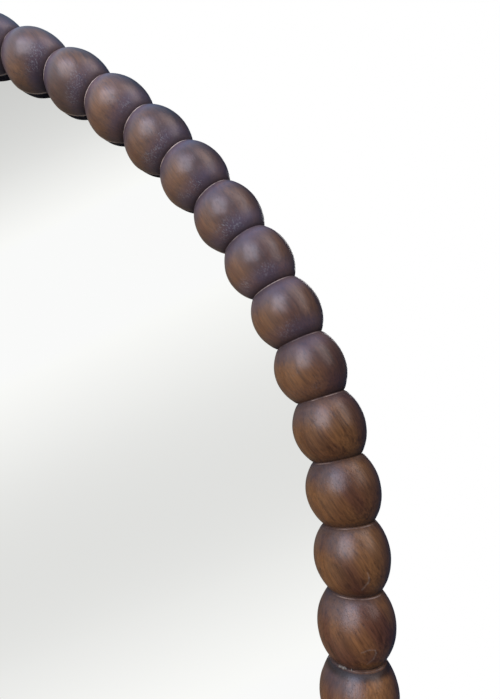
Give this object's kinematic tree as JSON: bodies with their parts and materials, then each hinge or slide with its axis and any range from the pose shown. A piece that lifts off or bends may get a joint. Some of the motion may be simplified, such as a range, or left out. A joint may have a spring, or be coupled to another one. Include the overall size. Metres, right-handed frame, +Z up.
{
  "type": "wall mirror",
  "caption": "Arched wall mirror in a carved bead frame of dark wood, flat along the bottom, with a rebated back, board backing and swinging hanger rings.",
  "frame": {"origin": "on the wall plane, midway between the two wall hooks, level with the point where each raised ring bears on its hook", "axes": "+Z up, +Y into the wall (the mirror faces -Y), +X to the right of someone who faces the mirror"},
  "size_m": [0.762, 0.046, 1.0152],
  "materials": {
    "walnut_wood": "dark walnut stain under satin lacquer",
    "beech_dowel": "plain fluted beech",
    "mirror": "silvered float glass with ground edges",
    "foam_tape": "white foam tape",
    "panel_board": "raw fibreboard",
    "brass_screw": "yellow zinc plated",
    "zinc_steel": "bright zinc plated",
    "bumper_rubber": "soft black rubber"
  },
  "bodies": {
    "frame": {"arch_left": "walnut_wood", "arch_right": "walnut_wood", "leg_left": "walnut_wood", "leg_right": "walnut_wood", "bottom_rail": "walnut_wood", "apex_dowel": "beech_dowel", "seam_dowel_left": "beech_dowel", "seam_dowel_right": "beech_dowel", "corner_dowel_left": "beech_dowel", "corner_dowel_right": "beech_dowel", "mirror_glass": "mirror", "mounting_tape": "foam_tape", "back_panel": "panel_board", "panel_screws": "brass_screw", "hanger_strap_left": "zinc_steel", "hanger_strap_right": "zinc_steel", "hanger_screws_left": "zinc_steel", "hanger_screws_right": "zinc_steel", "wall_bumpers": "bumper_rubber"},
    "ring_left": {"hanger_ring_left": "zinc_steel"},
    "ring_right": {"hanger_ring_right": "zinc_steel"}
  },
  "joints": [
    {"name": "ring_left_swing", "type": "hinge", "parent": "frame", "child": "ring_left", "pos_m": [-0.36315, -0.00335, -0.0135], "axis": [1, 0, 0], "range_deg": [0, 180]},
    {"name": "ring_right_swing", "type": "hinge", "parent": "frame", "child": "ring_right", "pos_m": [0.36315, -0.00335, -0.0135], "axis": [1, 0, 0], "range_deg": [0, 180]}
  ]
}
